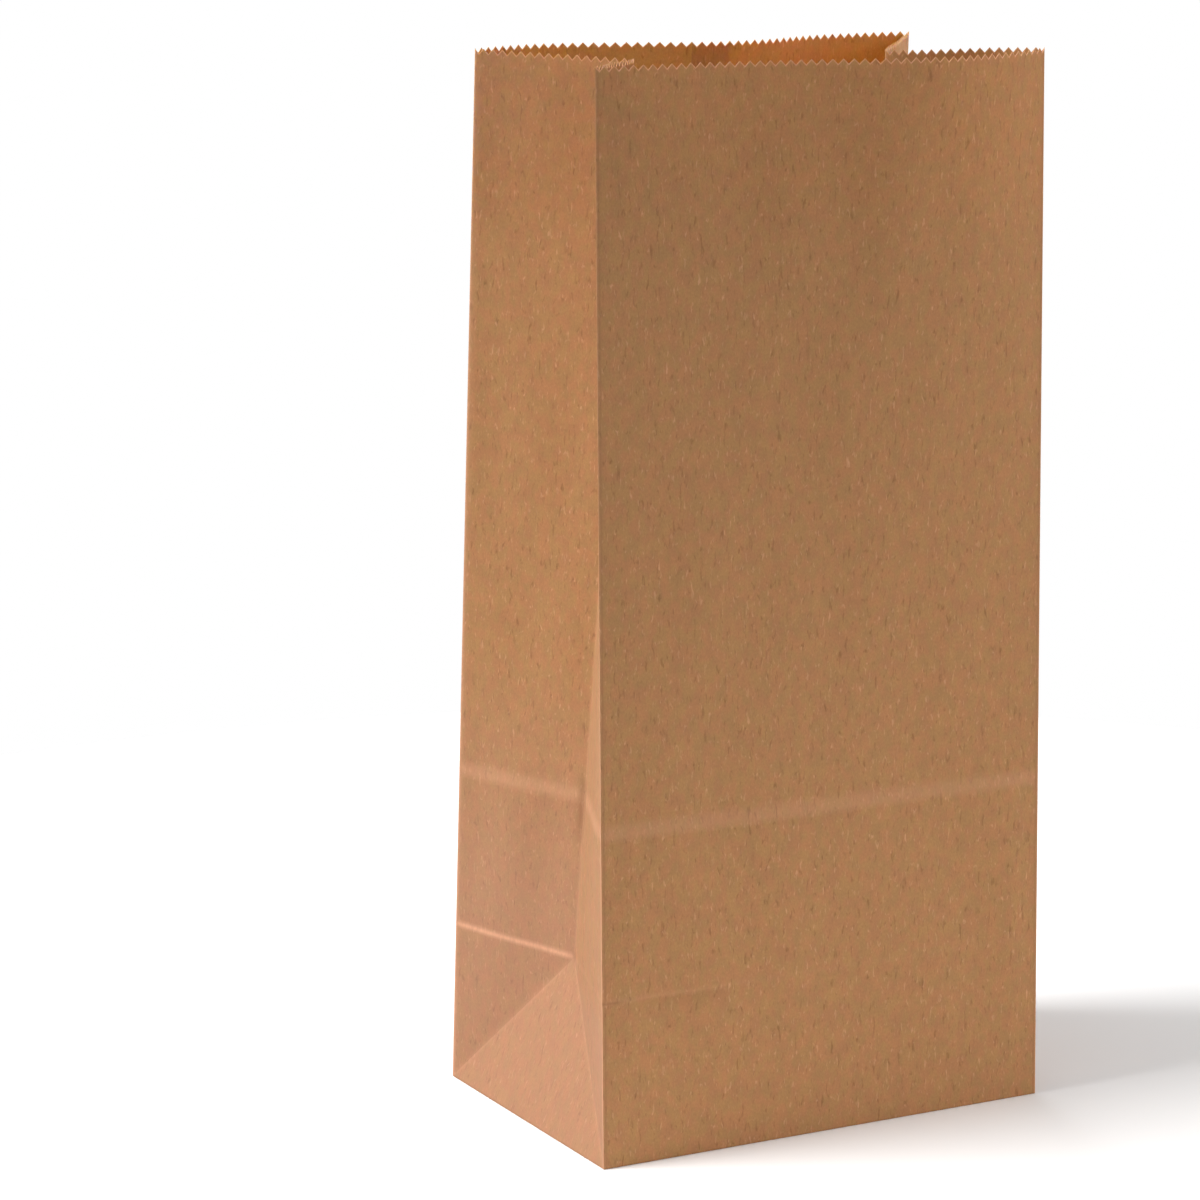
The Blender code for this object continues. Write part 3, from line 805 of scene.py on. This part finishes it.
def kraft_paper():
    """Unbleached kraft: blotchy pulp, short fibres running up the bag, pale folds and creases that are
    partly rubbed paper and partly painted highlight, and painted shade in pinches and creases.
    """
    material = bpy.data.materials.new("kraft_paper")
    paint = Shading(material)
    place = paint.attribute("place", "Vector")

    # Shifts keep one pattern from following another
    clouds = paint.noise(paint.scaled(place, CLOUD_CELL), detail=4.0, roughness=0.65)
    hues = paint.noise(paint.scaled(place, HUE_CELL, (3.0, 5.0, 0.0)), detail=2.0)
    dark = paint.noise(paint.scaled(place, DARK_FIBRE_CELL, (7.0, 1.0, 0.0)), detail=3.0, distortion=0.6)
    pale = paint.noise(paint.scaled(place, PALE_FIBRE_CELL, (1.0, 9.0, 0.0)), detail=2.0, distortion=0.6)
    grain = paint.noise(paint.scaled(place, GRAIN_CELL), detail=2.0)

    colour = paint.blend(paint.spread(hues, *HUE_RANGE), REDDISH, OLIVE)
    colour = paint.blend(paint.spread(dark, *DARK_FIBRES), colour, DARK_FIBRE_AND_SHADE)
    colour = paint.blend(paint.spread(pale, *PALE_FIBRES), colour, PALE_FIBRE)
    cloudy = paint.spread(clouds, *NOISE_RANGE, *CLOUD_SHADE)
    grainy = paint.spread(grain, *NOISE_RANGE, *GRAIN_SHADE)
    shaded = paint.add("ShaderNodeVectorMath", operation="SCALE")
    paint.feed(shaded.inputs[0], colour)
    paint.feed(shaded.inputs["Scale"], paint.math("MULTIPLY", cloudy, grainy))
    # Painted highlight tint: pinker colour of the gussets near the base
    colour = paint.blend(paint.attribute("pink", "Fac"), shaded.outputs[0], PINKISH)
    # Pale rubbed paper and painted highlight along folds, creases, the high crease's band and the cut edge
    wear_and_highlight = paint.attribute("wear_and_highlight", "Fac")
    patchy = paint.math("MULTIPLY", wear_and_highlight, paint.spread(pale, *NOISE_RANGE, *WEAR_AND_HIGHLIGHT_PATCHES))
    colour = paint.blend(patchy, colour, RUBBED_AND_HIGHLIGHT)
    # Painted shade in pinches and along pressed creases and folds, and darker teeth tips
    colour = paint.blend(paint.attribute("shade", "Fac"), colour, DARK_FIBRE_AND_SHADE)
    paint.feed(paint.shader.inputs["Base Color"], colour)
    paint.feed(paint.shader.inputs["Roughness"], paint.spread(clouds, *NOISE_RANGE, *ROUGHNESS))
    paint.shader.inputs["Specular IOR Level"].default_value = SPECULAR
    parts = paint.add("ShaderNodeSeparateXYZ")
    paint.feed(parts.inputs[0], place)
    translucency = paint.spread(parts.outputs["Y"], TRANSLUCENT_FROM, TRANSLUCENT_FULLY)
    right = paint.spread(parts.outputs["X"], RIGHT_START, BACK_START, FRONT_TRANSLUCENCE, 1.0)
    left = paint.spread(parts.outputs["X"], LEFT_START, ROUND, 1.0, FRONT_TRANSLUCENCE)
    translucency = paint.math("MULTIPLY", translucency, paint.math("MINIMUM", right, left))
    paint.feed(paint.shader.inputs["Subsurface Weight"], translucency)
    paint.shader.inputs["Subsurface Radius"].default_value = SCATTER_LENGTHS
    glued = paint.spread(parts.outputs["X"], LAP_START - LAP_BLUR, LAP_START + LAP_BLUR, 1.0, GLUED_SCATTER)
    dry = paint.spread(parts.outputs["X"], LAP_END - LAP_BLUR, LAP_END + LAP_BLUR, GLUED_SCATTER, 1.0)
    paint.feed(paint.shader.inputs["Subsurface Scale"], paint.math("MINIMUM", glued, dry))

    fibres = paint.math("MULTIPLY", pale, PALE_FIBRE_RELIEF)
    relief = paint.math("ADD", fibres, paint.math("MULTIPLY", grain, GRAIN_RELIEF))
    relief = paint.math("ADD", relief, clouds)
    bump = paint.add("ShaderNodeBump")
    bump.inputs["Strength"].default_value = BUMP_STRENGTH
    bump.inputs["Distance"].default_value = BUMP_HEIGHT
    paint.feed(bump.inputs["Height"], relief)
    paint.feed(paint.shader.inputs["Normal"], bump.outputs[0])
    return material


def build_floor():
    """A white table top that runs on into a white background and keeps the bag's shadow."""
    turns = [2 * math.pi * corner / FLOOR_CORNERS for corner in range(FLOOR_CORNERS)]
    spots = [(FLOOR_RADIUS * math.cos(turn), FLOOR_RADIUS * math.sin(turn), 0.0) for turn in turns]
    mesh = bpy.data.meshes.new("floor")
    mesh.from_pydata(spots, [], [list(range(FLOOR_CORNERS))])
    material = bpy.data.materials.new("white_floor")
    paint = Shading(material)
    seen = paint.add("ShaderNodeLightPath").outputs["Is Camera Ray"]
    paint.feed(paint.shader.inputs["Base Color"], paint.blend(seen, FLOOR_COLOUR, WHITE))
    paint.shader.inputs["Roughness"].default_value = 1.0
    paint.shader.inputs["Specular IOR Level"].default_value = 0.0
    mesh.materials.append(material)
    floor = bpy.data.objects.new("floor", mesh)
    bpy.context.scene.collection.objects.link(floor)


def add_lamp(name, position, size, power):
    """A square soft lamp that faces the middle of the bag."""
    light = bpy.data.lights.new(name, "AREA")
    light.shape = "SQUARE"
    light.size = size
    light.energy = power
    lamp = bpy.data.objects.new(name, light)
    lamp.location = position
    aim = Vector((0.0, 0.0, BAG_HEIGHT / 2)) - Vector(position)
    lamp.rotation_euler = aim.to_track_quat("-Z", "Y").to_euler()
    bpy.context.scene.collection.objects.link(lamp)


def light_scene():
    """Soft lamps and a room that looks white and gives off little light of its own."""
    for lamp in LAMPS:
        add_lamp(*lamp)
    world = bpy.data.worlds.new("studio")
    bpy.context.scene.world = world
    world.use_nodes = True
    tree = world.node_tree
    background = tree.nodes["Background"]
    path = tree.nodes.new("ShaderNodeLightPath")
    strength = tree.nodes.new("ShaderNodeMapRange")
    strength.inputs["To Min"].default_value = ROOM_LIGHT
    strength.inputs["To Max"].default_value = 1.0
    seen = tree.nodes.new("ShaderNodeMath")
    seen.operation = "MAXIMUM"
    tree.links.new(path.outputs["Is Camera Ray"], seen.inputs[0])
    tree.links.new(path.outputs["Is Glossy Ray"], seen.inputs[1])
    seen_through = tree.nodes.new("ShaderNodeMath")
    seen_through.operation = "MAXIMUM"
    tree.links.new(seen.outputs[0], seen_through.inputs[0])
    tree.links.new(path.outputs["Is Transmission Ray"], seen_through.inputs[1])
    tree.links.new(seen_through.outputs[0], strength.inputs["Value"])
    tree.links.new(strength.outputs[0], background.inputs["Strength"])
    background.inputs["Color"].default_value = WHITE


def add_camera():
    """The camera of the main view, a little left of the bag and above its middle."""
    data = bpy.data.cameras.new("camera")
    data.sensor_width = SENSOR_MM
    data.lens = LENS_MM
    camera = bpy.data.objects.new("camera", data)
    level = math.cos(CAMERA_ELEVATION)
    sideways = math.sin(CAMERA_AZIMUTH) * level
    frontward = -math.cos(CAMERA_AZIMUTH) * level
    back = Vector((sideways, frontward, math.sin(CAMERA_ELEVATION)))
    camera.location = CAMERA_AIM + back * CAMERA_DISTANCE
    camera.rotation_euler = (math.pi / 2 - CAMERA_ELEVATION, 0.0, CAMERA_AZIMUTH)
    bpy.context.scene.collection.objects.link(camera)
    bpy.context.scene.camera = camera


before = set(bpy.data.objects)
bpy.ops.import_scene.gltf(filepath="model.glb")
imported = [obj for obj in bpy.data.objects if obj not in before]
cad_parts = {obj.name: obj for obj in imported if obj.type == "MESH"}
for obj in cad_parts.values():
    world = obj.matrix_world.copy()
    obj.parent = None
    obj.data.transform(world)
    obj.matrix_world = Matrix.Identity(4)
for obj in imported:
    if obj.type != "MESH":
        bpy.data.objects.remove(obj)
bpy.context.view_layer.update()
bpy.context.scene.view_settings.view_transform = "Standard"

bag_piece = build_bag()
bag_piece.data.materials.append(kraft_paper())
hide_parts("paper_bag")
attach(bag_piece, "root")

build_floor()
light_scene()
add_camera()
